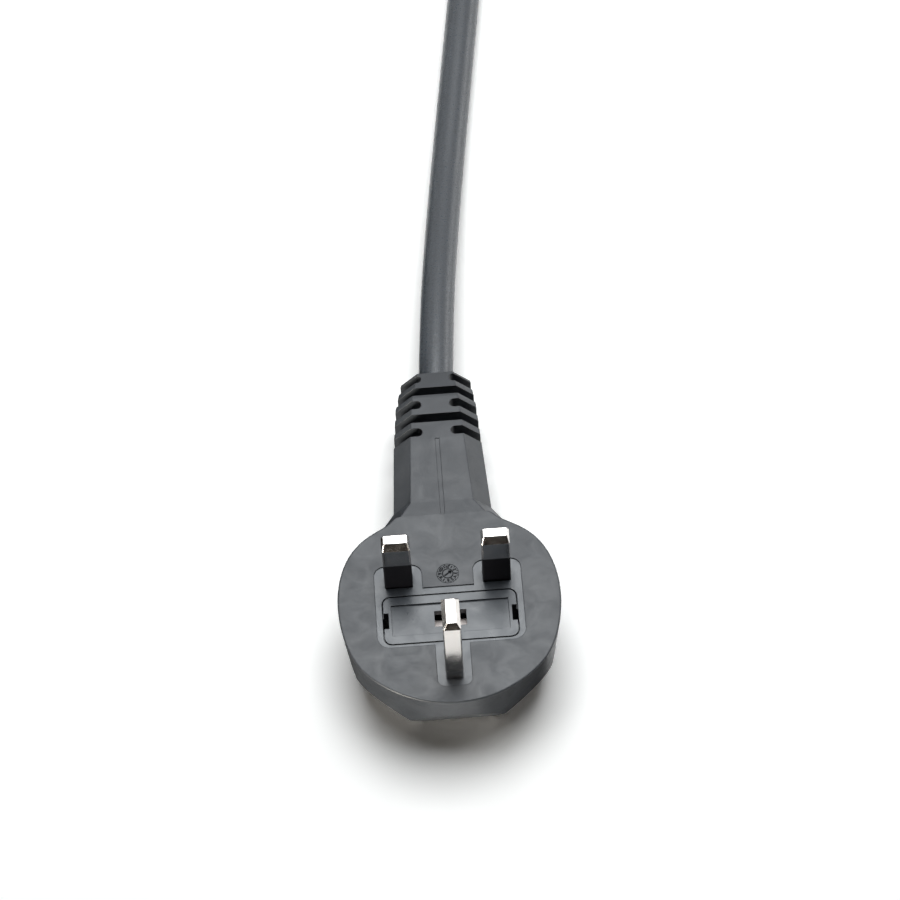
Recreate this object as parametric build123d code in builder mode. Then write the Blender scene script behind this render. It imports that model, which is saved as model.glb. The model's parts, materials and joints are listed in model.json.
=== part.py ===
from build123d import *

import os
from math import cos, pi, radians, sin, sqrt, tan

# Moulded three-pin plug of a car-charger adapter, its short cable and the connector at the far end.
# Millimetres. The plug lies on its back: z = 0 is the back and +Z points out of the pin face.
# X = 0 is the plane of symmetry, Y = 0 runs through the live and neutral pins, and +Y is the
# way the cable leaves.

# Plug body: a round head with flattened sides, drafted towards the back and cut by eight facets
# underneath. The outline is the right half of the face, in half widths from the head's centre.
plug_depth = 22.0
head_width = 50.44
head_centre_y = -6.5
head_outline = [
    (0.0, -1.027),
    (0.527, -0.884),
    (0.833, -0.615),
    (0.983, -0.198),
    (0.991, 0.198),
    (0.874, 0.549),
    (0.666, 0.759),
    (0.515, 0.849),
    (0.0, 0.956),
]
head_draft = 4.8
back_width = 36.4
back_diagonal = 36.8
facet_lean = 25.6
diagonal_lean = 29.9
rim_radius = 0.35
back_edge_radius = 0.9

# Neck and strain relief: octagonal sections, widths and heights at named stations
face_end_y = 16.8
flare_root_y = 10.0
flare_root_width = 35.0
flare_width = 27.8
neck_start_y = 20.5
neck_start_width = 22.7
neck_start_height = 20.0
neck_end_y = 38.0
neck_end_width = 20.8
neck_end_height = 19.6
relief_mid_y = 50.0
relief_mid_width = 19.1
relief_mid_height = 18.6
relief_end_y = 57.6
relief_end_width = 16.6
relief_end_height = 16.4
relief_lean = 0.65
neck_bevel_width = 4.1
neck_bevel_height = 4.5
neck_corner = 0.5
flare_root_undercut = (10.0, 10.5)
flare_undercut = (6.9, 8.0)
centre_groove_width = 1.0
centre_groove_depth = 0.15

# Flexing slots of the strain relief: pairs from the sides alternate with slots over the top
slot_count = 5
slot_width = 2.3
slot_pitch = 3.96
first_slot_y = 40.0
relief_core_wall = 1.1
side_slot_land = 6.6
cross_slot_land = 3.6

# Cable
cable_diameter = 8.3
cable_axis_z = 11.8
cable_stub = 17.6
floor_gap = 0.05

# Pins
pin_spacing = 22.22
earth_pitch = 22.22
pin_width = 6.35
pin_thickness = 3.97
pin_reach = 17.7
earth_width = 3.97
earth_thickness = 7.93
earth_reach = 22.7
pin_corner = 0.4
tip_height = 2.05
tip_side_inset = 0.5
tip_face_inset = 0.91
earth_tip_height = 1.62
earth_tip_inset = 0.9
tip_corner = 0.3
tip_edge_radius = 0.2
sleeve_reach = 9.5
sleeve_root = 3.0
sleeve_wall = 0.5

# Pin carrier: the rigid inlay that holds the pins and the fuse well
carrier_width = 33.4
carrier_front_y = -17.35
carrier_back_y = -2.4
carrier_step = 0.25
carrier_depth = 12.75
lobe_width = 10.9
lobe_back_y = 3.8
lobe_corner = 2.4
tongue_width = 7.8
tongue_end_wall = 1.815
tongue_corner = 1.8
carrier_corner = 3.0

# Fuse and its well
fuse_length = 25.4
fuse_diameter = 6.35
fuse_cap_length = 5.6
fuse_cap_wall = 0.3
fuse_y = -10.35
fuse_below_face = 7.0
well_length = 28.0
well_width = 8.4
fit_gap = 0.3
seat_gap = 0.05

# Fuse carrier: the plate that lifts the fuse out
holder_length = 30.0
holder_width = 12.0
holder_thickness = 2.2
holder_corner = 1.7
panel_length = 26.5
panel_width = 7.9
panel_depth = 0.5
window_length = 7.2
window_width = 4.0
notch_depth = 1.1
notch_width = 4.0
notch_pocket_depth = 4.5
grip_inner_x = 4.0
grip_thickness = 2.0
grip_drop = 1.8
grip_lip = 0.5

# Fuse clips and the parts that join them to the conductors
clip_length = 5.0
clip_metal = 0.5
clip_lip = 1.6
strap_width = 4.0
strap_metal = 0.8
strap_sink = 0.5
tail_drop = 2.4
lug_metal = 1.2
barrel_diameter = 3.8
barrel_rise = 0.3
barrel_length = 5.0
lug_overlap = 1.0
earth_lug_inset = 1.0
crimp_pinch = 0.5
crimp_pinch_length = 2.4
live_barrel_x = -4.6
neutral_barrel_x = -9.2
tab_metal = 0.8
tab_width = 3.0

# Cores inside the neck: each turns at one place and reaches its angle round the axis at another
core_diameter = 2.9
core_ring_radius = 1.75
core_bend = 8.0
neutral_turn_y = 10.5
live_turn_y = 12.0
earth_turn_y = 10.0
core_join_y = 31.0
live_core_join_y = 27.0
neutral_angle = 210
live_angle = 90
earth_angle = 330
lead_diameter = 1.2
lead_ring_radius = 2.5
lead_spacing = 1.5
lead_straight = 3.0
lead_spread_place = (2.6, 22.0, 15.6)
lead_join_y = 34.0
lead_angles = (30, 150)
bead_diameter = 3.2
bead_end_radius = 1.0
bead_length = 4.0
bead_y = 5.0
bead_z = 16.0

# Cable route from inside the strain relief to the far connector, points chosen by hand
cable_start_y = relief_end_y - cable_stub
cable_floor_z = cable_diameter / 2 + floor_gap
connector_x = 24.0
connector_y = 300.0
connector_axis_z = 11.5
cable_end_y = 312.0
cable_route = [
    (0.0, cable_start_y, cable_axis_z),
    (0.0, 47.8, cable_axis_z),
    (1.1, 66.0, 11.6),
    (3.0, 90.0, 9.6),
    (5.7, 114.0, 6.4),
    (9.0, 140.0, cable_floor_z),
    (21.2, 226.0, cable_floor_z),
    (23.6, 256.0, 7.6),
    (connector_x, 285.0, connector_axis_z),
    (connector_x, cable_end_y, connector_axis_z),
]

# Far connector
boot_length = 27.0
boot_tip_diameter = 12.8
boot_root_diameter = 18.0
boot_ring_count = 4
boot_ring_width = 2.2
boot_ring_depth = 1.3
shell_length = 56.0
shell_taper_length = 13.0
shell_width = 36.0
shell_height = 2 * connector_axis_z
shell_corner = 7.0
shell_neck_width = 23.0
shell_neck_height = 19.0
shell_edge_radius = 1.2
grip_count = 4
grip_pitch = 5.0
grip_groove_width = 1.6
grip_groove_depth = 0.7
nose_width = 27.0
nose_height = 14.0
nose_corner = 4.5
nose_length = 12.0
nose_root = 12.0
nose_edge_radius = 0.8
seal_width = 2.4
seal_height = 1.2
contact_inset = 0.6
power_contact_diameter = 4.4
power_contact_bore = 2.6
power_contact_pitch = 8.6
power_contact_rise = 2.2
sense_contact_diameter = 2.6
sense_contact_bore = 1.3
sense_contact_drop = 3.6
contact_length = 18.0

# Places that follow from the sizes above
face_z = plug_depth
carrier_top_z = face_z - carrier_step
carrier_bottom_z = carrier_top_z - carrier_depth
pin_tail_z = carrier_bottom_z - tail_drop
barrel_z = pin_tail_z + barrel_rise
fuse_z = face_z - fuse_below_face
clip_inner_radius = fuse_diameter / 2 + fit_gap
clip_outer_radius = clip_inner_radius + clip_metal
well_floor_z = fuse_z - clip_outer_radius
seat_z = carrier_top_z - holder_thickness - seat_gap
live_pin_place = (pin_spacing / 2, 0)
neutral_pin_place = (-pin_spacing / 2, 0)
earth_pin_place = (0, -earth_pitch)
tongue_front_y = -earth_pitch - earth_thickness / 2 - tongue_end_wall
boot_end_y = connector_y + boot_length
shell_end_y = boot_end_y + shell_length

pieces = {}


def keep(name, builder):
    """Labels a finished piece and notes it for export."""
    builder.part.label = name
    pieces[name] = builder.part


def facing_cable(y, x=0.0):
    """Sketch plane across the cable at y: its local axes are X, from x on, and Z."""
    return Plane(origin=(x, y, 0), x_dir=(1, 0, 0), z_dir=(0, -1, 0))


def pin_solid(place, width, thickness, reach, tip_rise, side_inset, face_inset):
    """Straight pin with a chamfered tip, from its tail below the carrier to its tip."""
    shoulder_z = face_z + reach - tip_rise
    with BuildPart() as pin:
        with BuildSketch(Plane.XY.offset(pin_tail_z)):
            with Locations(place):
                RectangleRounded(width, thickness, pin_corner)
        extrude(amount=shoulder_z - pin_tail_z)
        with BuildSketch(Plane.XY.offset(shoulder_z)):
            with Locations(place):
                RectangleRounded(width, thickness, pin_corner)
        with BuildSketch(Plane.XY.offset(face_z + reach)):
            with Locations(place):
                RectangleRounded(width - 2 * side_inset, thickness - 2 * face_inset, tip_corner)
        loft(ruled=True)
        fillet(pin.edges().group_by(Axis.Z)[-1], tip_edge_radius)
    return pin


def sleeve_solid(place):
    """Insulating sleeve, flush with the pin and let into its necked root."""
    with BuildPart() as sleeve:
        with BuildSketch(Plane.XY.offset(face_z - sleeve_root)):
            with Locations(place):
                RectangleRounded(pin_width, pin_thickness, pin_corner)
                Rectangle(
                    pin_width - 2 * sleeve_wall, pin_thickness - 2 * sleeve_wall, mode=Mode.SUBTRACT
                )
        extrude(amount=sleeve_root + sleeve_reach)
    return sleeve


def core_solid(route, diameter, bend):
    """Round conductor along straight runs joined by arcs."""
    with BuildPart() as core:
        with BuildLine() as path:
            FilletPolyline(*route, radius=bend)
        with BuildSketch(Plane(origin=path.line @ 0, z_dir=path.line % 0)):
            Circle(diameter / 2)
        sweep(path=path.line)
    return core


# Live and neutral pins with their sleeves, and the earth pin
live_pin_sleeve = sleeve_solid(live_pin_place)
neutral_pin_sleeve = sleeve_solid(neutral_pin_place)
keep("live_pin_sleeve", live_pin_sleeve)
keep("neutral_pin_sleeve", neutral_pin_sleeve)

flat_pin = (pin_width, pin_thickness, pin_reach, tip_height, tip_side_inset, tip_face_inset)
with BuildPart() as live_pin:
    add(pin_solid(live_pin_place, *flat_pin).part)
    add(live_pin_sleeve.part, mode=Mode.SUBTRACT)
keep("live_pin", live_pin)

with BuildPart() as neutral_pin:
    add(pin_solid(neutral_pin_place, *flat_pin).part)
    add(neutral_pin_sleeve.part, mode=Mode.SUBTRACT)
keep("neutral_pin", neutral_pin)

earth_pin = pin_solid(
    earth_pin_place,
    earth_width,
    earth_thickness,
    earth_reach,
    earth_tip_height,
    earth_tip_inset,
    earth_tip_inset,
)
keep("earth_pin", earth_pin)


# Fuse clips: a spring U under each end cap, on a flat strap let into the well floor
def clip_solid(x_middle, strap_x, strap_y):
    """Fuse clip whose strap spans strap_x and strap_y, both (low, high)."""
    with BuildPart() as clip:
        with BuildSketch(Plane.YZ.offset(x_middle - clip_length / 2)):
            with Locations((fuse_y, fuse_z)):
                Circle(clip_outer_radius)
            with Locations((fuse_y, fuse_z + clip_lip / 2)):
                Rectangle(2 * clip_outer_radius, clip_lip)
            with Locations((fuse_y, fuse_z)):
                Circle(clip_inner_radius, mode=Mode.SUBTRACT)
            with Locations((fuse_y, fuse_z + clip_outer_radius)):
                Rectangle(2 * clip_inner_radius, 2 * clip_outer_radius, mode=Mode.SUBTRACT)
            with Locations((fuse_y, fuse_z + clip_lip + clip_outer_radius)):
                Rectangle(3 * clip_outer_radius, 2 * clip_outer_radius, mode=Mode.SUBTRACT)
        extrude(amount=clip_length)
        with BuildSketch(Plane.XY.offset(well_floor_z - strap_sink)):
            with Locations(((strap_x[0] + strap_x[1]) / 2, (strap_y[0] + strap_y[1]) / 2)):
                Rectangle(strap_x[1] - strap_x[0], strap_y[1] - strap_y[0])
        extrude(amount=strap_metal)
    return clip


pin_clip_x = live_pin_place[0]
fuse_clip_pin_side = clip_solid(
    pin_clip_x,
    (pin_clip_x - clip_length / 2, pin_clip_x + clip_length / 2),
    (fuse_y - strap_width / 2, -pin_thickness / 2),
)
keep("fuse_clip_pin_side", fuse_clip_pin_side)

cord_clip = clip_solid(
    -pin_clip_x,
    (-pin_clip_x - clip_length / 2, live_barrel_x + tab_width / 2),
    (fuse_y - strap_width / 2, fuse_y + strap_width / 2),
)
tab_back_y = fuse_y + strap_width / 2
live_tab_place = (live_barrel_x, tab_back_y - tab_metal / 2)
with BuildPart() as fuse_clip_cord_side:
    add(cord_clip.part)
    with BuildSketch(Plane.XY.offset(pin_tail_z)):
        with Locations(live_tab_place):
            Rectangle(tab_width, tab_metal)
    extrude(amount=well_floor_z - pin_tail_z)
keep("fuse_clip_cord_side", fuse_clip_cord_side)


# Crimps: a flat lug under the tail and a pinched barrel on the conductor
def crimp_solid(lug_centre, lug_size, barrel_x, barrel_start_y):
    """Crimp with its lug against a tail and its barrel pointing along the cable."""
    lug_end_y = barrel_start_y + lug_overlap
    low_x = min(lug_centre[0] - lug_size[0] / 2, barrel_x - lug_size[0] / 2)
    high_x = max(lug_centre[0] + lug_size[0] / 2, barrel_x + barrel_diameter / 4)
    low_y = lug_centre[1] - lug_size[1] / 2
    with BuildPart() as crimp:
        with BuildSketch(Plane.XY.offset(pin_tail_z - lug_metal)):
            with Locations(((low_x + high_x) / 2, (low_y + lug_end_y) / 2)):
                Rectangle(high_x - low_x, lug_end_y - low_y)
        extrude(amount=lug_metal)
        with BuildSketch(facing_cable(barrel_start_y)):
            with Locations((barrel_x, barrel_z)):
                Circle(barrel_diameter / 2)
        extrude(amount=-barrel_length)
        pinch_y = barrel_start_y + (lug_overlap + barrel_length) / 2
        with Locations((barrel_x, pinch_y, barrel_z + barrel_diameter / 2)):
            Box(barrel_diameter, crimp_pinch_length, 2 * crimp_pinch, mode=Mode.SUBTRACT)
    return crimp


pin_back_y = pin_thickness / 2 + seat_gap
earth_back_y = -earth_pitch + earth_thickness / 2 + seat_gap
live_back_y = tab_back_y + seat_gap
neutral_crimp = crimp_solid(
    neutral_pin_place, (barrel_diameter, pin_thickness), neutral_barrel_x, pin_back_y
)
keep("neutral_crimp", neutral_crimp)
earth_lug_length = earth_thickness - 2 * earth_lug_inset
earth_crimp = crimp_solid(earth_pin_place, (earth_width, earth_lug_length), 0, earth_back_y)
keep("earth_crimp", earth_crimp)
live_crimp = crimp_solid(live_tab_place, (tab_width, strap_width / 2), live_barrel_x, live_back_y)
keep("live_crimp", live_crimp)


# Insulated cores from the crimps to the end of the cable jacket
def ring_place(radius, angle):
    """Point on a ring round the cable axis, as (x, z)."""
    return radius * cos(radians(angle)), cable_axis_z + radius * sin(radians(angle))


def crimped_core(barrel_x, barrel_start_y, turn_y, join_y, angle):
    """Core straight out of its barrel, across to its ring place, then straight into the jacket."""
    x, z = ring_place(core_ring_radius, angle)
    route = [
        (barrel_x, barrel_start_y + barrel_length, barrel_z),
        (barrel_x, turn_y, barrel_z),
        (x, join_y, z),
        (x, cable_start_y, z),
    ]
    return core_solid(route, core_diameter, core_bend)


neutral_core = crimped_core(neutral_barrel_x, pin_back_y, neutral_turn_y, core_join_y, neutral_angle)
keep("neutral_core", neutral_core)
live_core = crimped_core(live_barrel_x, live_back_y, live_turn_y, live_core_join_y, live_angle)
keep("live_core", live_core)
earth_core = crimped_core(0, earth_back_y, earth_turn_y, core_join_y, earth_angle)
keep("earth_core", earth_core)

# Temperature bead between the pins, and its two leads
bead_end_y = bead_y + bead_length
with BuildPart() as temperature_bead:
    with BuildSketch(facing_cable(bead_y)):
        with Locations((0, bead_z)):
            Circle(bead_diameter / 2)
    extrude(amount=-bead_length)
    fillet(temperature_bead.edges().sort_by(Axis.Y)[0], bead_end_radius)
keep("temperature_bead", temperature_bead)

with BuildPart() as sensor_leads:
    for side, angle in zip((1, -1), lead_angles):
        x, z = ring_place(lead_ring_radius, angle)
        spread_x, spread_y, spread_z = lead_spread_place
        lead_route = [
            (side * lead_spacing / 2, bead_end_y, bead_z),
            (side * lead_spacing / 2, bead_end_y + lead_straight, bead_z),
            (side * spread_x, spread_y, spread_z),
            (x, lead_join_y, z),
            (x, cable_start_y, z),
        ]
        add(core_solid(lead_route, lead_diameter, core_bend).part)
keep("sensor_leads", sensor_leads)

# Pin carrier
with BuildPart() as pin_carrier:
    with BuildSketch(Plane.XY.offset(carrier_bottom_z)) as outline:
        with Locations((0, (carrier_front_y + carrier_back_y) / 2)):
            Rectangle(carrier_width, carrier_back_y - carrier_front_y)
        for side in (-1, 1):
            lobe_x = side * (carrier_width - lobe_width) / 2
            with Locations((lobe_x, (carrier_back_y + lobe_back_y) / 2)):
                Rectangle(lobe_width, lobe_back_y - carrier_back_y)
        with Locations((0, (carrier_front_y + tongue_front_y) / 2)):
            Rectangle(tongue_width, carrier_front_y - tongue_front_y)
        fillet(outline.vertices().group_by(Axis.Y)[-1], lobe_corner)
        fillet(outline.vertices().group_by(Axis.Y)[0], tongue_corner)
        fillet(
            outline.vertices().filter_by(
                lambda v: abs(v.Y - carrier_front_y) < seat_gap and abs(v.X) > tongue_width
            ),
            carrier_corner,
        )
    extrude(amount=carrier_depth)
    with BuildSketch(Plane.XY.offset(seat_z)):
        with Locations((0, fuse_y)):
            RectangleRounded(
                holder_length + 2 * fit_gap, holder_width + 2 * fit_gap, holder_corner + fit_gap
            )
    extrude(amount=carrier_top_z - seat_z, mode=Mode.SUBTRACT)
    with BuildSketch(Plane.XY.offset(well_floor_z)):
        with Locations((0, fuse_y)):
            Rectangle(well_length, well_width)
    extrude(amount=seat_z - well_floor_z, mode=Mode.SUBTRACT)
    for side in (-1, 1):
        pocket_outer = holder_length / 2 + fit_gap
        pocket_inner = holder_length / 2 - notch_depth
        with BuildSketch(Plane.XY.offset(seat_z)):
            with Locations((side * (pocket_outer + pocket_inner) / 2, fuse_y)):
                Rectangle(pocket_outer - pocket_inner, notch_width)
        extrude(amount=-notch_pocket_depth, mode=Mode.SUBTRACT)
    with BuildSketch(Plane.XY.offset(carrier_bottom_z)):
        with Locations(live_pin_place, neutral_pin_place):
            RectangleRounded(pin_width, pin_thickness, pin_corner)
        with Locations(earth_pin_place):
            RectangleRounded(earth_width, earth_thickness, pin_corner)
    extrude(amount=carrier_depth, mode=Mode.SUBTRACT)
    add(fuse_clip_pin_side.part, mode=Mode.SUBTRACT)
    add(fuse_clip_cord_side.part, mode=Mode.SUBTRACT)
keep("pin_carrier", pin_carrier)

# Fuse carrier: plate, recessed panel, window, lever notches and the two grips on the fuse
with BuildPart() as fuse_carrier:
    with BuildSketch(Plane.XY.offset(carrier_top_z - holder_thickness)):
        with Locations((0, fuse_y)):
            RectangleRounded(holder_length, holder_width, holder_corner)
            with GridLocations(holder_length - notch_depth, 0, 2, 1):
                Rectangle(notch_depth, notch_width, mode=Mode.SUBTRACT)
            Rectangle(window_length, window_width, mode=Mode.SUBTRACT)
    extrude(amount=holder_thickness)
    with BuildSketch(Plane.XY.offset(carrier_top_z - panel_depth)):
        with Locations((0, fuse_y)):
            Rectangle(panel_length, panel_width)
    extrude(amount=panel_depth, mode=Mode.SUBTRACT)
    plate_bottom_z = carrier_top_z - holder_thickness
    grip_bottom_z = fuse_z - grip_drop
    body_radius = fuse_diameter / 2 - fuse_cap_wall
    for side in (-1, 1):
        with BuildSketch(Plane.YZ.offset(side * (grip_inner_x + grip_thickness / 2))):
            with Locations((fuse_y, (grip_bottom_z + plate_bottom_z) / 2)):
                Rectangle(well_width - 2 * fit_gap, plate_bottom_z - grip_bottom_z)
            with Locations((fuse_y, fuse_z)):
                Circle(body_radius, mode=Mode.SUBTRACT)
            with Locations((fuse_y, fuse_z - body_radius)):
                Rectangle(2 * (body_radius - grip_lip), 2 * body_radius, mode=Mode.SUBTRACT)
        extrude(amount=grip_thickness / 2, both=True)
keep("fuse_carrier", fuse_carrier)

# Cartridge fuse: ceramic tube and two end caps
tube_radius = fuse_diameter / 2 - fuse_cap_wall - seat_gap
with BuildPart() as fuse_tube:
    with BuildSketch(Plane.YZ.offset(-fuse_length / 2 + fuse_cap_wall)):
        with Locations((fuse_y, fuse_z)):
            Circle(tube_radius)
    extrude(amount=fuse_length - 2 * fuse_cap_wall)
keep("fuse_tube", fuse_tube)

for side, name in ((1, "fuse_cap_pin_side"), (-1, "fuse_cap_cord_side")):
    with BuildPart() as fuse_cap:
        with BuildSketch(Plane.YZ.offset(side * fuse_length / 2)):
            with Locations((fuse_y, fuse_z)):
                Circle(fuse_diameter / 2)
        extrude(amount=-side * fuse_cap_length)
        fillet(fuse_cap.edges().group_by(Axis.X)[-1 if side > 0 else 0], fuse_cap_wall)
        with BuildSketch(Plane.YZ.offset(side * (fuse_length / 2 - fuse_cap_wall))):
            with Locations((fuse_y, fuse_z)):
                Circle(fuse_diameter / 2 - fuse_cap_wall)
        extrude(amount=-side * fuse_cap_length, mode=Mode.SUBTRACT)
    keep(name, fuse_cap)


# Cable: straight runs joined by arcs as wide as the runs allow
def turn_radius(before, corner, after):
    """Arc that takes 0.45 of the shorter run on each side of a corner."""
    into, out = Vector(corner) - Vector(before), Vector(after) - Vector(corner)
    return 0.45 * min(into.length, out.length) / tan(radians(into.get_angle(out)) / 2)


cable_radii = [turn_radius(*cable_route[i : i + 3]) for i in range(len(cable_route) - 2)]
print("cable radii", [round(radius) for radius in cable_radii])
with BuildPart() as cable:
    with BuildLine() as cable_path:
        FilletPolyline(*cable_route, radius=cable_radii)
    with BuildSketch(facing_cable(cable_start_y)):
        with Locations((0, cable_axis_z)):
            Circle(cable_diameter / 2)
    sweep(path=cable_path.line)
cable_section = pi * cable_diameter**2 / 4
cable_length = sum(edge.length for edge in cable_path.edges())
print("cable length", round(cable_length, 1))
print("cable volume share", round(cable.part.volume / (cable_section * cable_length), 4))
keep("cable", cable)


# Overmould: head, neck and strain relief in one moulding
def lean_at(y):
    """How far the cable's pull has bent the strain relief towards +X at y."""
    return relief_lean * (max(y - neck_end_y, 0) / (relief_end_y - neck_end_y)) ** 2


def octagon(width, height, undercut=(neck_bevel_width, neck_bevel_height)):
    """Corners of a section round the cable axis, whose lower bevel may be larger."""
    half, rise = width / 2, height / 2
    right = [
        (half - neck_bevel_width, cable_axis_z + rise),
        (half, cable_axis_z + rise - neck_bevel_height),
        (half, cable_axis_z - rise + undercut[1]),
        (half - undercut[0], cable_axis_z - rise),
    ]
    return right + [(-x, z) for x, z in reversed(right)]


face_height = 2 * (face_z - cable_axis_z)
with BuildPart() as neck:
    for y, corners in (
        (flare_root_y, octagon(flare_root_width, face_height, flare_root_undercut)),
        (face_end_y, octagon(flare_width, face_height, flare_undercut)),
        (neck_start_y, octagon(neck_start_width, neck_start_height)),
        (neck_end_y, octagon(neck_end_width, neck_end_height)),
        (relief_mid_y, octagon(relief_mid_width, relief_mid_height)),
        (relief_end_y, octagon(relief_end_width, relief_end_height)),
    ):
        with BuildSketch(facing_cable(y, lean_at(y))) as section:
            with BuildLine():
                Polyline(*corners, close=True)
            make_face()
            fillet(section.vertices(), neck_corner)
    loft(ruled=True)

# Slots that let the relief bend, less the core that they leave round the cable
with BuildPart() as relief_slots:
    slot_reach = relief_mid_width
    for number in range(slot_count):
        slot_y = first_slot_y + number * slot_pitch
        slot_x = lean_at(slot_y)
        if number % 2 == 0:
            side_x = (side_slot_land + slot_reach) / 2
            with BuildSketch(Plane.XY.offset(cable_axis_z)):
                with Locations((slot_x - side_x, slot_y), (slot_x + side_x, slot_y)):
                    SlotOverall(slot_reach, slot_width)
            extrude(amount=neck_end_height, both=True)
        else:
            cross_z = (cross_slot_land + slot_reach) / 2
            with Locations(
                (slot_x, slot_y, cable_axis_z - cross_z), (slot_x, slot_y, cable_axis_z + cross_z)
            ):
                Box(2 * slot_reach, slot_width, slot_reach)

with BuildPart() as relief_core:
    for y in (neck_end_y, relief_mid_y, relief_end_y):
        with BuildSketch(facing_cable(y, lean_at(y))):
            with Locations((0, cable_axis_z)):
                Circle(cable_diameter / 2 + relief_core_wall)
    loft()

groove_line = [
    (face_end_y, face_z),
    (neck_start_y, cable_axis_z + neck_start_height / 2),
    (neck_end_y, cable_axis_z + neck_end_height / 2),
]
with BuildPart() as centre_groove:
    with BuildSketch(Plane.YZ):
        with BuildLine():
            Polyline(
                *[(y, z - centre_groove_depth) for y, z in groove_line],
                *[(y, z + centre_groove_depth) for y, z in reversed(groove_line)],
                close=True,
            )
        make_face()
    extrude(amount=centre_groove_width / 2, both=True)

with BuildPart() as underside_facets:
    for z in (0, plug_depth):
        width = back_width + 2 * z * tan(radians(facet_lean))
        diagonal = back_diagonal + 2 * z * tan(radians(diagonal_lean))
        with BuildSketch(Plane.XY.offset(z)) as facets:
            with Locations((0, head_centre_y)):
                Rectangle(width, width)
            chamfer(facets.vertices(), width - diagonal / sqrt(2))
    loft(ruled=True)

half_width = head_width / 2
right_side = [(half_width * x, head_centre_y + half_width * y) for x, y in head_outline]
with BuildPart() as plug_overmould:
    with BuildSketch(Plane.XY.offset(face_z)):
        with BuildLine():
            Spline(*right_side, tangents=((1, 0), (-1, 0)))
            mirror(about=Plane.YZ)
        make_face()
    extrude(amount=-plug_depth, taper=head_draft)
    fillet(plug_overmould.edges().group_by(Axis.Z)[-1], rim_radius)
    add(underside_facets.part, mode=Mode.INTERSECT)
    fillet(plug_overmould.edges().group_by(Axis.Z)[0], back_edge_radius)
    with Locations((0, face_end_y, plug_depth / 2)):
        Box(
            head_width,
            head_width,
            2 * plug_depth,
            align=(Align.CENTER, Align.MIN, Align.CENTER),
            mode=Mode.SUBTRACT,
        )
    add(neck.part)
    add(relief_slots.part, mode=Mode.SUBTRACT)
    add(relief_core.part)
    add(centre_groove.part, mode=Mode.SUBTRACT)
    with BuildSketch(Plane.XY.offset(face_z)):
        add(outline.sketch.faces()[0].moved(Location((0, 0, carrier_depth + carrier_step))))
    extrude(amount=-(carrier_depth + carrier_step), mode=Mode.SUBTRACT)
    with BuildSketch(Plane.XY.offset(pin_tail_z)):
        with Locations(live_pin_place, neutral_pin_place):
            RectangleRounded(pin_width, pin_thickness, pin_corner)
        with Locations(earth_pin_place):
            RectangleRounded(earth_width, earth_thickness, pin_corner)
        with Locations(live_tab_place):
            Rectangle(tab_width, tab_metal)
    extrude(amount=tail_drop, mode=Mode.SUBTRACT)
    for inner in (
        neutral_crimp,
        live_crimp,
        earth_crimp,
        neutral_core,
        live_core,
        earth_core,
        temperature_bead,
        sensor_leads,
        cable,
    ):
        add(inner.part, mode=Mode.SUBTRACT)
keep("plug_overmould", plug_overmould)

# Strain relief of the far connector
with BuildPart() as connector_strain_relief:
    with BuildSketch(facing_cable(connector_y)):
        with Locations((connector_x, connector_axis_z)):
            Circle(boot_tip_diameter / 2)
    with BuildSketch(facing_cable(boot_end_y)):
        with Locations((connector_x, connector_axis_z)):
            Circle(boot_root_diameter / 2)
    loft()
    ring_core = boot_tip_diameter / 2 - boot_ring_depth
    boot_flare = (boot_root_diameter - boot_tip_diameter) / 2
    for number in range(boot_ring_count):
        ring_y = connector_y + boot_length * (number + 1) / (boot_ring_count + 2)
        ring_radius = ring_core + boot_flare * (number + 1) / (boot_ring_count + 2)
        with BuildSketch(facing_cable(ring_y)):
            with Locations((connector_x, connector_axis_z)):
                Circle(boot_root_diameter)
                Circle(ring_radius, mode=Mode.SUBTRACT)
        extrude(amount=-boot_ring_width, mode=Mode.SUBTRACT)
    with BuildSketch(facing_cable(connector_y)):
        with Locations((connector_x, connector_axis_z)):
            Circle(cable_diameter / 2)
    extrude(amount=-(cable_end_y - connector_y), mode=Mode.SUBTRACT)
keep("connector_strain_relief", connector_strain_relief)

# Contact insert with its nose, and the five contacts
contact_places = {
    "live_contact": (power_contact_pitch, power_contact_rise),
    "earth_contact": (0, power_contact_rise),
    "neutral_contact": (-power_contact_pitch, power_contact_rise),
    "sense_contact": (power_contact_pitch / 2, -sense_contact_drop),
    "pilot_contact": (-power_contact_pitch / 2, -sense_contact_drop),
}
nose_end_y = shell_end_y + nose_length
contact_face_y = nose_end_y - contact_inset
contact_root_y = contact_face_y - contact_length
for name, (x, z) in contact_places.items():
    power = z > 0
    with BuildPart() as contact:
        with BuildSketch(facing_cable(contact_root_y)):
            with Locations((connector_x + x, connector_axis_z + z)):
                Circle((power_contact_diameter if power else sense_contact_diameter) / 2)
        extrude(amount=-contact_length)
        with BuildSketch(facing_cable(contact_face_y)):
            with Locations((connector_x + x, connector_axis_z + z)):
                Circle((power_contact_bore if power else sense_contact_bore) / 2)
        extrude(amount=contact_length / 2, mode=Mode.SUBTRACT)
    keep(name, contact)

with BuildPart() as contact_insert:
    with BuildSketch(facing_cable(shell_end_y - nose_root)):
        with Locations((connector_x, connector_axis_z)):
            RectangleRounded(nose_width, nose_height, nose_corner)
    extrude(amount=-(nose_root + nose_length))
    fillet(contact_insert.edges().group_by(Axis.Y)[-1], nose_edge_radius)
    for x, z in contact_places.values():
        with BuildSketch(facing_cable(contact_root_y)):
            with Locations((connector_x + x, connector_axis_z + z)):
                Circle((power_contact_diameter if z > 0 else sense_contact_diameter) / 2)
        extrude(amount=-2 * contact_length, mode=Mode.SUBTRACT)
keep("contact_insert", contact_insert)

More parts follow.
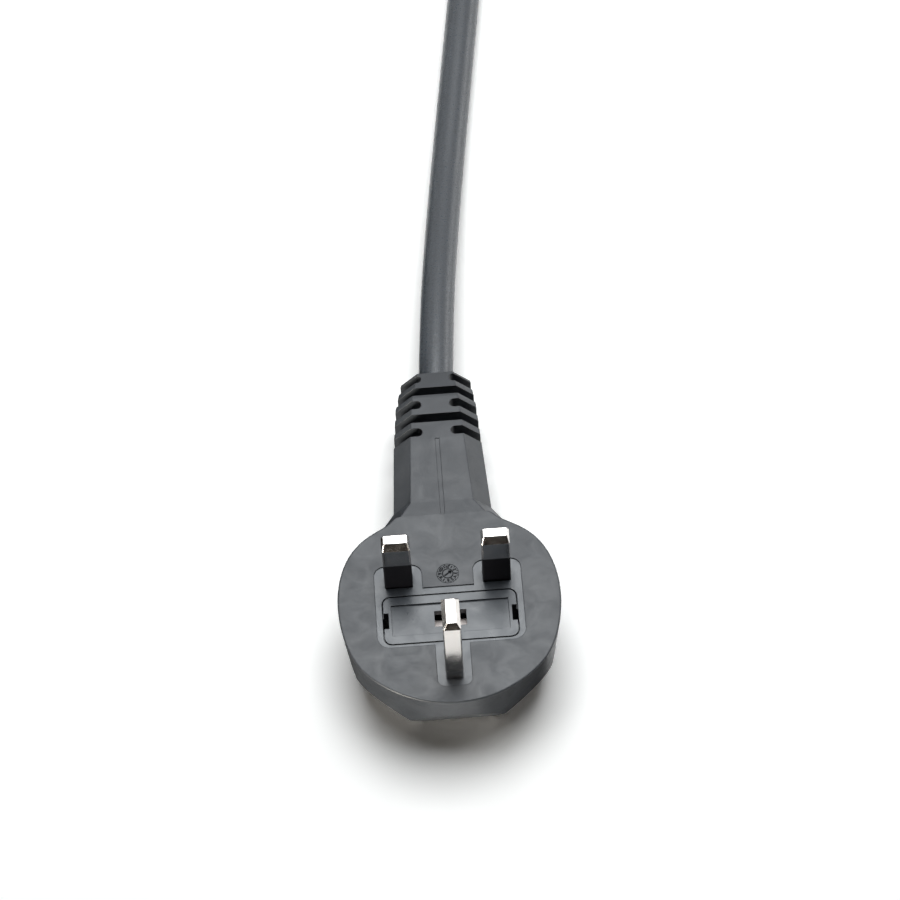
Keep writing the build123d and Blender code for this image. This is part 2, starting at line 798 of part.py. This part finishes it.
# Seal round the root of the nose
with BuildPart() as seal_ring:
    with BuildSketch(facing_cable(shell_end_y)):
        with Locations((connector_x, connector_axis_z)):
            RectangleRounded(
                nose_width + 2 * seal_height, nose_height + 2 * seal_height, nose_corner + seal_height
            )
            RectangleRounded(nose_width, nose_height, nose_corner, mode=Mode.SUBTRACT)
    extrude(amount=-seal_width)
keep("seal_ring", seal_ring)

# Connector shell with finger grooves on both sides
with BuildPart() as connector_shell:
    with BuildSketch(facing_cable(boot_end_y)):
        with Locations((connector_x, connector_axis_z)):
            RectangleRounded(shell_neck_width, shell_neck_height, shell_corner)
    with BuildSketch(facing_cable(boot_end_y + shell_taper_length)):
        with Locations((connector_x, connector_axis_z)):
            RectangleRounded(shell_width, shell_height, shell_corner)
    loft()
    with BuildSketch(facing_cable(boot_end_y + shell_taper_length)):
        with Locations((connector_x, connector_axis_z)):
            RectangleRounded(shell_width, shell_height, shell_corner)
    extrude(amount=-(shell_length - shell_taper_length))
    fillet(connector_shell.edges().group_by(Axis.Y)[-1], shell_edge_radius)
    for number in range(grip_count):
        groove_y = boot_end_y + shell_taper_length + (number + 1) * grip_pitch
        with Locations((connector_x, groove_y, connector_axis_z)):
            with GridLocations(shell_width, 0, 2, 1):
                Box(
                    2 * grip_groove_depth,
                    grip_groove_width,
                    shell_height - 2 * shell_corner,
                    mode=Mode.SUBTRACT,
                )
    with BuildSketch(facing_cable(shell_end_y - nose_root)):
        with Locations((connector_x, connector_axis_z)):
            RectangleRounded(nose_width, nose_height, nose_corner)
    extrude(amount=-2 * nose_root, mode=Mode.SUBTRACT)
keep("connector_shell", connector_shell)

os.makedirs("parts", exist_ok=True)
for name, part in pieces.items():
    export_step(part, f"parts/{name}.step")
print("pieces", len(pieces))
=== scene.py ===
import json
import math

import bpy
from mathutils import Matrix, Vector


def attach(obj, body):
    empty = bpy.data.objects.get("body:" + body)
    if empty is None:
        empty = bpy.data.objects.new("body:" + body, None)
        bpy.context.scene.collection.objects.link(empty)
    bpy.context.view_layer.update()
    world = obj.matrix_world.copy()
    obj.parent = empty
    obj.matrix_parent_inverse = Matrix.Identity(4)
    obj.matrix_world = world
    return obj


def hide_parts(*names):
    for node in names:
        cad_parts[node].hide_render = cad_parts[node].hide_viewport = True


# Looks of the three-pin plug, its cable and its connector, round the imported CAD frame. Metres.

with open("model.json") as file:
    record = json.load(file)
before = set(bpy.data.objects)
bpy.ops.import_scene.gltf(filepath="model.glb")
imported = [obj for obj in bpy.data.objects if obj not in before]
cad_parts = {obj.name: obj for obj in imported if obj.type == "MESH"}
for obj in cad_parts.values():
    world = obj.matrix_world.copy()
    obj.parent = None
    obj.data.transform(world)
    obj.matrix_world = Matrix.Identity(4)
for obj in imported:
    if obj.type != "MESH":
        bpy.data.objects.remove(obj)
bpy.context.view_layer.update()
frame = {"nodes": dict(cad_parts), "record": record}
nodes = frame["nodes"]

MM = 0.001
FACE_Z = 22.0 * MM
CABLE_DIAMETER = 8.3 * MM

# Colour sockets of a Mix node, by number because its other sockets have the same names
MIX_FIRST = 6
MIX_SECOND = 7
MIX_RESULT = 2


# Node helpers
def mixed(tree, factor, first, second):
    """Colour between first and second; each is a colour or a socket."""
    node = tree.nodes.new("ShaderNodeMix")
    node.data_type = "RGBA"
    tree.links.new(factor, node.inputs["Factor"])
    for value, socket in ((first, node.inputs[MIX_FIRST]), (second, node.inputs[MIX_SECOND])):
        if isinstance(value, tuple):
            socket.default_value = (*value, 1.0)
        else:
            tree.links.new(value, socket)
    return node.outputs[MIX_RESULT]


def ranged(tree, source, from_low, from_high, low=0.0, high=1.0):
    """Source stretched from one range to another and held at its ends."""
    node = tree.nodes.new("ShaderNodeMapRange")
    node.inputs["From Min"].default_value = from_low
    node.inputs["From Max"].default_value = from_high
    node.inputs["To Min"].default_value = low
    node.inputs["To Max"].default_value = high
    tree.links.new(source, node.inputs["Value"])
    return node.outputs["Result"]


def combined(tree, operation, first, second):
    """Result of a Math node on two sockets."""
    node = tree.nodes.new("ShaderNodeMath")
    node.operation = operation
    tree.links.new(first, node.inputs[0])
    tree.links.new(second, node.inputs[1])
    return node.outputs[0]


class Finish:
    """A material with a Principled shader, and short ways to drive its sockets."""

    def __init__(self, name, color, roughness, metallic=0.0, specular=0.5):
        self.material = bpy.data.materials.new(name)
        self.material.use_nodes = True
        self.tree = self.material.node_tree
        self.shader = self.tree.nodes["Principled BSDF"]
        self.shader.inputs["Base Color"].default_value = (*color, 1.0)
        self.shader.inputs["Roughness"].default_value = roughness
        self.shader.inputs["Metallic"].default_value = metallic
        self.shader.inputs["Specular IOR Level"].default_value = specular
        self.place = self.tree.nodes.new("ShaderNodeTexCoord").outputs["Object"]
        self.normal = None

    def link(self, source, target):
        self.tree.links.new(source, target)

    def stretched(self, scale):
        """Object coordinates multiplied by scale along each axis."""
        mapping = self.tree.nodes.new("ShaderNodeMapping")
        mapping.inputs["Scale"].default_value = scale
        self.link(self.place, mapping.inputs["Vector"])
        return mapping.outputs["Vector"]

    def noise(self, size, detail=2.0, roughness=0.5, distortion=0.0, stretch=None):
        """Noise whose features are about size metres across."""
        node = self.tree.nodes.new("ShaderNodeTexNoise")
        node.inputs["Scale"].default_value = 1.0 / size
        node.inputs["Detail"].default_value = detail
        node.inputs["Roughness"].default_value = roughness
        node.inputs["Distortion"].default_value = distortion
        self.link(self.stretched(stretch) if stretch else self.place, node.inputs["Vector"])
        return node.outputs["Fac"]

    def spots(self, size):
        """Distance to the nearest of many scattered points, size metres apart."""
        node = self.tree.nodes.new("ShaderNodeTexVoronoi")
        node.inputs["Scale"].default_value = 1.0 / size
        self.link(self.place, node.inputs["Vector"])
        return node.outputs["Distance"]

    def spread(self, source, low, high, usual=(0.3, 0.7)):
        """Source stretched from its usual range to low..high."""
        return ranged(self.tree, source, *usual, low, high)

    def mix(self, factor, first, second):
        return mixed(self.tree, factor, first, second)

    def color(self, source):
        self.link(source, self.shader.inputs["Base Color"])

    def roughness(self, source):
        self.link(source, self.shader.inputs["Roughness"])

    def shading_normal(self, node):
        self.normal = node.outputs["Normal"]
        self.link(self.normal, self.shader.inputs["Normal"])

    def bump(self, height, strength, distance):
        """Adds one more layer of relief, distance metres deep."""
        node = self.tree.nodes.new("ShaderNodeBump")
        node.inputs["Strength"].default_value = strength
        node.inputs["Distance"].default_value = distance
        self.link(height, node.inputs["Height"])
        if self.normal:
            self.link(self.normal, node.inputs["Normal"])
        self.shading_normal(node)

    def soft_edges(self, radius):
        """Rounds the shading of sharp edges."""
        node = self.tree.nodes.new("ShaderNodeBevel")
        node.inputs["Radius"].default_value = radius
        self.shading_normal(node)


def shade(color, factor):
    return tuple(min(1.0, part * factor) for part in color)


# Moulded plastic: sizes of its patterns, how much the mottle shows, what smudges add to roughness
TONE_PATCH = 9 * MM
SMUDGE = 5 * MM
WAVE = 3.5 * MM
MOTTLE = 1.4 * MM
MOTTLE_SHARE = 0.35
SMUDGE_LEAST = -0.05
SMUDGE_MOST = 0.12


def moulded(name, color, roughness, grain=0.16 * MM, tone=0.10, edge=0.15 * MM, specular=0.5):
    """Satin moulded plastic: fine spark-eroded grain, slow tone changes and faint handling smudges."""
    finish = Finish(name, color, roughness, specular=specular)
    slow = finish.noise(TONE_PATCH, detail=3.0, distortion=0.6)
    mottle = finish.noise(MOTTLE, detail=4.0, roughness=0.6)
    smudge = finish.noise(SMUDGE, detail=5.0, roughness=0.62, distortion=0.8)
    base = finish.mix(finish.spread(slow, 0, 1), shade(color, 1 - tone), shade(color, 1 + tone))
    finish.color(finish.mix(finish.spread(mottle, 0, MOTTLE_SHARE), base, shade(color, 1 - 2 * tone)))
    finish.roughness(finish.spread(smudge, roughness + SMUDGE_LEAST, roughness + SMUDGE_MOST))
    finish.soft_edges(edge)
    finish.bump(finish.noise(WAVE), strength=0.15, distance=0.04 * MM)
    finish.bump(finish.noise(grain, detail=3.0, roughness=0.6), strength=0.35, distance=0.02 * MM)
    return finish.material


# Plated metal: width of the drawing lines, their scale along the metal, size of clouds, rounding
DRAWN_LINE = 0.12 * MM
DRAWN_SCALE = 0.02
CLOUD = 2.5 * MM
METAL_EDGE = 0.12 * MM


def plated(name, color, roughness, along):
    """Plated metal with drawing lines along one axis."""
    finish = Finish(name, color, roughness, metallic=1.0)
    stretch = tuple(DRAWN_SCALE if axis == along else 1.0 for axis in "XYZ")
    lines = finish.noise(DRAWN_LINE, detail=3.0, stretch=stretch)
    cloud = finish.noise(CLOUD, detail=3.0)
    finish.color(finish.mix(finish.spread(cloud, 0, 1), shade(color, 0.94), shade(color, 1.04)))
    finish.roughness(finish.spread(cloud, roughness * 0.8, roughness * 1.35))
    finish.soft_edges(METAL_EDGE)
    finish.bump(lines, strength=0.2, distance=0.006 * MM)
    return finish.material


# Elastomer: sizes of its grain and of its slow patches, and what the grain adds to roughness
PEBBLE = 0.6 * MM
ELASTOMER_PATCH = 7 * MM
PEBBLE_MOST = 0.16
PEBBLE_LEAST = -0.08


def grained(name, color, roughness, fleck=1.45):
    """Matt elastomer with an all-over pebble grain, whose flecks are fleck times as bright."""
    finish = Finish(name, color, roughness, specular=0.7)
    pebble = finish.noise(PEBBLE, detail=3.0, roughness=0.65)
    slow = finish.noise(ELASTOMER_PATCH)
    base = finish.mix(finish.spread(slow, 0, 1), shade(color, 0.9), shade(color, 1.1))
    flecks = finish.spread(pebble, 0, 1, usual=(0.35, 0.65))
    finish.color(finish.mix(flecks, base, shade(color, fleck)))
    finish.roughness(finish.spread(pebble, roughness + PEBBLE_MOST, roughness + PEBBLE_LEAST))
    finish.bump(pebble, strength=0.9, distance=0.07 * MM)
    return finish.material


# Ceramic: sizes of its paler patches and of its pores
CERAMIC_PATCH = 0.5 * MM
PORE = 0.25 * MM


def ceramic(name, color):
    """Unglazed ceramic with fine pores."""
    finish = Finish(name, color, roughness=0.55)
    patches = finish.spread(finish.noise(CERAMIC_PATCH), 0, 1)
    finish.color(finish.mix(patches, shade(color, 0.9), color))
    finish.bump(finish.spots(PORE), strength=0.2, distance=0.02 * MM)
    return finish.material


MATERIALS = {
    "overmould": moulded(
        "overmould", (0.034, 0.038, 0.044), 0.38, tone=0.14, edge=0.22 * MM, specular=0.45
    ),
    "carrier_plastic": moulded(
        "carrier_plastic", (0.046, 0.054, 0.064), 0.31, grain=0.1 * MM, tone=0.06, specular=0.6
    ),
    "plated_pin": plated("plated_pin", (0.80, 0.765, 0.735), 0.17, along="Z"),
    "sleeve": moulded("sleeve", (0.003, 0.003, 0.004), 0.34, specular=0.1),
    "ceramic": ceramic("ceramic", (0.86, 0.77, 0.73)),
    "fuse_metal": plated("fuse_metal", (0.78, 0.76, 0.73), 0.22, along="X"),
    "spring_metal": plated("spring_metal", (0.80, 0.60, 0.30), 0.28, along="X"),
    "core_blue": moulded("core_blue", (0.03, 0.12, 0.45), 0.4),
    "core_brown": moulded("core_brown", (0.18, 0.075, 0.035), 0.4),
    "core_green": moulded("core_green", (0.20, 0.42, 0.06), 0.4),
    "bead_resin": moulded("bead_resin", (0.03, 0.03, 0.032), 0.25),
    "lead_insulation": moulded("lead_insulation", (0.70, 0.70, 0.67), 0.4),
    "cable_jacket": grained("cable_jacket", (0.017, 0.021, 0.026), 0.31, fleck=2.4),
    "connector_plastic": moulded("connector_plastic", (0.040, 0.044, 0.050), 0.42),
    "insert_plastic": moulded("insert_plastic", (0.018, 0.019, 0.021), 0.36, grain=0.1 * MM),
    "contact_metal": plated("contact_metal", (0.80, 0.76, 0.70), 0.22, along="Y"),
    "seal_rubber": grained("seal_rubber", (0.26, 0.27, 0.28), 0.6),
    # Date dial marks: coloured far darker than the plastic round them
    "engraving": moulded("engraving", (0.010, 0.011, 0.013), 0.6, edge=0.02 * MM, specular=0.12),
}


def dress(piece, slot):
    """Gives a piece its one material."""
    piece.data.materials.clear()
    piece.data.materials.append(MATERIALS[slot])


for row in frame["record"]["subparts"]:
    if row["node"] in nodes:
        dress(nodes[row["node"]], row["material_slot"])


# Scene helpers
QUAD = (0, 1, 2, 3)


def add_object(name, data):
    """A new object, linked into the scene."""
    item = bpy.data.objects.new(name, data)
    bpy.context.scene.collection.objects.link(item)
    return item


def add_mesh(name, verts, faces, material):
    """A new mesh object with one material, linked into the scene."""
    mesh = bpy.data.meshes.new(name)
    mesh.from_pydata(verts, [], faces)
    mesh.materials.append(material)
    return add_object(name, mesh)


# Cable: the CAD route as one smooth spline. Millimetres.
CABLE_ROUTE = [
    (0.0, 40.0, 11.8),
    (0.0, 47.8, 11.8),
    (1.1, 66.0, 11.6),
    (3.0, 90.0, 9.6),
    (5.7, 114.0, 6.4),
    (9.0, 140.0, 4.2),
    (21.2, 226.0, 4.2),
    (23.6, 256.0, 7.6),
    (24.0, 285.0, 11.5),
    (24.0, 312.0, 11.5),
]
cable_curve = bpy.data.curves.new("cable_run", "CURVE")
cable_curve.dimensions = "3D"
cable_curve.bevel_depth = CABLE_DIAMETER / 2
cable_curve.bevel_resolution = 8
cable_curve.use_fill_caps = True
cable_spline = cable_curve.splines.new("NURBS")
cable_spline.points.add(len(CABLE_ROUTE) - 1)
for point, place in zip(cable_spline.points, CABLE_ROUTE):
    point.co = (*(Vector(place) * MM), 1.0)
cable_spline.order_u = 3
cable_spline.use_endpoint_u = True
cable_spline.resolution_u = 24
cable_curve.materials.append(MATERIALS["cable_jacket"])
cable_run = add_object("cable_run", cable_curve)
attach(cable_run, "plug_body")
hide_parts("cable")

# Date dial in the face: two rings, month strokes with plain numbers between them, and an arrow.
# Its sizes are in millimetres, from its middle.
DIAL_PLACE = Vector((0.1, 0.84)) * MM
DIAL_SUNK = 0.03
DIAL_PROUD = 0.02
OUTER_RING = 2.5
OUTER_RING_WIDTH = 0.12
INNER_RING = 1.2
INNER_RING_WIDTH = 0.26
MONTHS = 12
MONTH_STROKE = (2.42, 2.05)
MONTH_STROKE_WIDTH = 0.2
NUMERAL_RADIUS = 1.84
DIGIT_UNIT = 0.32
DIGIT_PITCH = 0.48
DIGIT_WIDTH = 0.26
ARROW_TIP = Vector((0.78, 0.58))
ARROW_WIDTH = 0.42
BARB_BACK = 0.55
BARB_SIDE = 0.4
BARB_WIDTH = 0.36

# Strokes of each digit on a grid one unit wide and two units high
DIGITS = {
    "0": [[(0, 0), (1, 0), (1, 2), (0, 2), (0, 0)]],
    "1": [[(0.5, 0), (0.5, 2)]],
    "2": [[(0, 2), (1, 2), (1, 1), (0, 1), (0, 0), (1, 0)]],
    "3": [[(0, 2), (1, 2), (1, 0), (0, 0)], [(0.2, 1), (1, 1)]],
    "4": [[(0, 2), (0, 1), (1, 1)], [(1, 2), (1, 0)]],
    "5": [[(1, 2), (0, 2), (0, 1), (1, 1), (1, 0), (0, 0)]],
    "6": [[(1, 2), (0, 2), (0, 0), (1, 0), (1, 1), (0, 1)]],
    "7": [[(0, 2), (1, 2), (0.4, 0)]],
    "8": [[(0, 1), (0, 2), (1, 2), (1, 0), (0, 0), (0, 1), (1, 1)]],
    "9": [[(1, 1), (0, 1), (0, 2), (1, 2), (1, 0), (0, 0)]],
}


def ribbon(verts, faces, points, width, low, high):
    """Adds a thin upright-sided band along points to the lists of a mesh."""
    first = len(verts)
    count = len(points)
    for index, point in enumerate(points):
        before = points[max(index - 1, 0)]
        after = points[min(index + 1, count - 1)]
        along = (after - before).normalized()
        across = Vector((-along.y, along.x)) * width / 2
        for side, z in ((1, low), (-1, low), (-1, high), (1, high)):
            verts.append((point.x + side * across.x, point.y + side * across.y, z))
    for index in range(count - 1):
        a = first + 4 * index
        for corner in range(4):
            faces.append((a + corner, a + (corner + 1) % 4, a + 4 + (corner + 1) % 4, a + 4 + corner))
    faces.append((first, first + 3, first + 2, first + 1))
    last = first + 4 * (count - 1)
    faces.append((last, last + 1, last + 2, last + 3))


def heading(angle):
    return Vector((math.cos(angle), math.sin(angle)))


def ring(radius, count=48):
    """Points round the dial, with the first one again at the end."""
    return [radius * heading(2 * math.pi * index / count) for index in range(count + 1)]


def date_dial():
    verts, faces = [], []

    def mark(points, width):
        places = [DIAL_PLACE + point * MM for point in points]
        ribbon(verts, faces, places, width * MM, FACE_Z - DIAL_SUNK * MM, FACE_Z + DIAL_PROUD * MM)

    mark(ring(OUTER_RING), OUTER_RING_WIDTH)
    mark(ring(INNER_RING), INNER_RING_WIDTH)
    for month in range(MONTHS):
        angle = math.pi / 2 - 2 * math.pi * month / MONTHS
        between = heading(angle + math.pi / MONTHS)
        mark([between * radius for radius in MONTH_STROKE], MONTH_STROKE_WIDTH)
        out = heading(angle)
        right = Vector((out.y, -out.x))
        numeral = str(month or MONTHS)
        for place, digit in enumerate(numeral):
            corner = right * ((place - (len(numeral) - 1) / 2) * DIGIT_PITCH - DIGIT_UNIT / 2)
            corner += out * (NUMERAL_RADIUS - DIGIT_UNIT)
            for stroke in DIGITS[digit]:
                mark([corner + (right * x + out * y) * DIGIT_UNIT for x, y in stroke], DIGIT_WIDTH)
    ahead = ARROW_TIP.normalized()
    wing = Vector((-ahead.y, ahead.x)) * BARB_SIDE
    mark([-ARROW_TIP, ARROW_TIP], ARROW_WIDTH)
    for side in (-1, 1):
        mark([ARROW_TIP - ahead * BARB_BACK + side * wing, ARROW_TIP], BARB_WIDTH)
    return add_mesh("date_dial", verts, faces, MATERIALS["engraving"])


dial = date_dial()
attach(dial, "plug_body")


# Floor and the white round it
def seen_directly(tree):
    """1 for camera, mirror and glass rays, 0 for the rays that light the object."""
    rays = tree.nodes.new("ShaderNodeLightPath").outputs
    camera_or_mirror = combined(tree, "MAXIMUM", rays["Is Camera Ray"], rays["Is Glossy Ray"])
    return combined(tree, "MAXIMUM", camera_or_mirror, rays["Is Transmission Ray"])


def stage_material(name, color, lift=1.0):
    """Matt paint, seen lift times as bright as it lights the object."""
    material = bpy.data.materials.new(name)
    material.use_nodes = True
    tree = material.node_tree
    tree.nodes.remove(tree.nodes["Principled BSDF"])
    paint = tree.nodes.new("ShaderNodeBsdfDiffuse")
    tone = mixed(tree, seen_directly(tree), color, tuple(part * lift for part in color))
    tree.links.new(tone, paint.inputs["Color"])
    tree.links.new(paint.outputs["BSDF"], tree.nodes["Material Output"].inputs["Surface"])
    return material


def brighten_far(material, near, far):
    """Lets the floor fade to plain white, as seen, between near and far metres from the object."""
    tree = material.node_tree
    surface = tree.nodes["Material Output"].inputs["Surface"]
    paint = surface.links[0].from_socket
    distance = tree.nodes.new("ShaderNodeVectorMath")
    distance.operation = "LENGTH"
    tree.links.new(tree.nodes.new("ShaderNodeTexCoord").outputs["Object"], distance.inputs[0])
    fade = ranged(tree, distance.outputs["Value"], near, far)
    white = tree.nodes.new("ShaderNodeEmission")
    tree.links.new(combined(tree, "MULTIPLY", fade, seen_directly(tree)), white.inputs["Strength"])
    both = tree.nodes.new("ShaderNodeAddShader")
    tree.links.new(paint, both.inputs[0])
    tree.links.new(white.outputs["Emission"], both.inputs[1])
    tree.links.new(both.outputs["Shader"], surface)


FLOOR_HALF = 3.0
FLOOR_CORNERS = [
    (-FLOOR_HALF, -FLOOR_HALF, 0.0),
    (FLOOR_HALF, -FLOOR_HALF, 0.0),
    (FLOOR_HALF, FLOOR_HALF, 0.0),
    (-FLOOR_HALF, FLOOR_HALF, 0.0),
]
floor_paint = stage_material("floor_paint", (0.88, 0.87, 0.855), lift=1.4)
brighten_far(floor_paint, near=0.35, far=1.1)
floor = add_mesh("floor", FLOOR_CORNERS, [QUAD], floor_paint)

ROOM_GLOW = (0.026, 0.022, 0.017)
WHITE = (1.0, 1.0, 1.0)
world = bpy.data.worlds.new("studio")
world.use_nodes = True
bpy.context.scene.world = world
world_tree = world.node_tree
surround = mixed(world_tree, seen_directly(world_tree), ROOM_GLOW, WHITE)
world_tree.links.new(surround, world_tree.nodes["Background"].inputs["Color"])


# Lamps, and sheets that paint dark reflections
def soft_light(name, place, target, size, watts, tint):
    """Area light of size (width, height) at place, turned to target."""
    lamp = bpy.data.lights.new(name, "AREA")
    lamp.color = tint
    lamp.shape = "RECTANGLE"
    lamp.size, lamp.size_y = size
    lamp.energy = watts
    holder = add_object(name, lamp)
    holder.location = place
    holder.rotation_euler = (Vector(target) - Vector(place)).to_track_quat("-Z", "Y").to_euler()


# Colour of the sheets that paint dark reflections
DARK_REFLECTION_PAINT = stage_material("dark_reflection_paint", (0.02, 0.015, 0.012))


def dark_card(name, corner, along, up):
    """Painted dark reflection: a dark sheet that shows only in reflections, hidden from the camera,
    from light and from shadows; a corner and the two sides that span it.
    """
    start, across, rise = Vector(corner), Vector(along), Vector(up)
    corners = [start, start + across, start + across + rise, start + rise]
    sheet = add_mesh(name, corners, [QUAD], DARK_REFLECTION_PAINT)
    sheet.visible_camera = False
    sheet.visible_diffuse = False
    sheet.visible_transmission = False
    sheet.visible_shadow = False


# The key hangs over the plug, the side lamp stands at its right, and the fill is a strip at floor level
soft_light(
    "key",
    place=(0.05, 0.30, 1.00),
    target=(0.0, 0.0, 0.0),
    size=(0.75, 0.75),
    watts=11.5,
    tint=(0.95, 0.98, 1.0),
)
soft_light(
    "side",
    place=(1.00, 0.60, 0.26),
    target=(0.0, 0.0, 0.0),
    size=(0.5, 0.5),
    watts=2.0,
    tint=WHITE,
)
soft_light(
    "fill",
    place=(-0.66, -0.74, 0.003),
    target=(0.0, 0.0, 0.003),
    size=(0.4, 0.004),
    watts=20.0,
    tint=(1.0, 0.94, 0.84),
)

# Painted dark reflections: two upright sheets stand in front of the plug and at its left, and two flat
# ones lie on the floor
dark_card("front_dark_reflection", corner=(-0.30, -0.08, 0.001), along=(0.6, 0.0, 0.0), up=(0.0, -0.02, 0.42))
dark_card("left_dark_reflection", corner=(-0.60, -0.20, 0.001), along=(0.0, 1.0, 0.0), up=(-0.10, 0.0, 0.45))
dark_card("left_floor_dark_reflection", corner=(-0.085, -0.04, 0.0005), along=(0.0, 0.36, 0.0), up=(0.075, 0.0, 0.0))
# Flat sheet at the right front: painted floor shadow, seen only in the walls' reflections
dark_card("right_floor_shadow_reflection", corner=(0.008, -0.046, 0.0005), along=(0.030, 0.014, 0.0), up=(0.0, 0.02, 0.0))

# Camera at the photograph's angle
CAMERA_PLACE = Vector((-2.47, -357.79, 621.67)) * MM
RIGHT = Vector((0.9973, -0.06514, -0.03383))
UP = Vector((0.07303, 0.83456, 0.54605))
BACK = Vector((-0.00734, -0.54705, 0.83707))
lens = bpy.data.cameras.new("camera")
lens.lens = 123.26
lens.sensor_width = 36.0
lens.clip_start = 0.01
camera = add_object("camera", lens)
turn = Matrix((RIGHT, UP, BACK)).transposed().to_4x4()
camera.matrix_world = Matrix.Translation(CAMERA_PLACE) @ turn
bpy.context.scene.camera = camera
bpy.context.scene.view_settings.view_transform = "Standard"
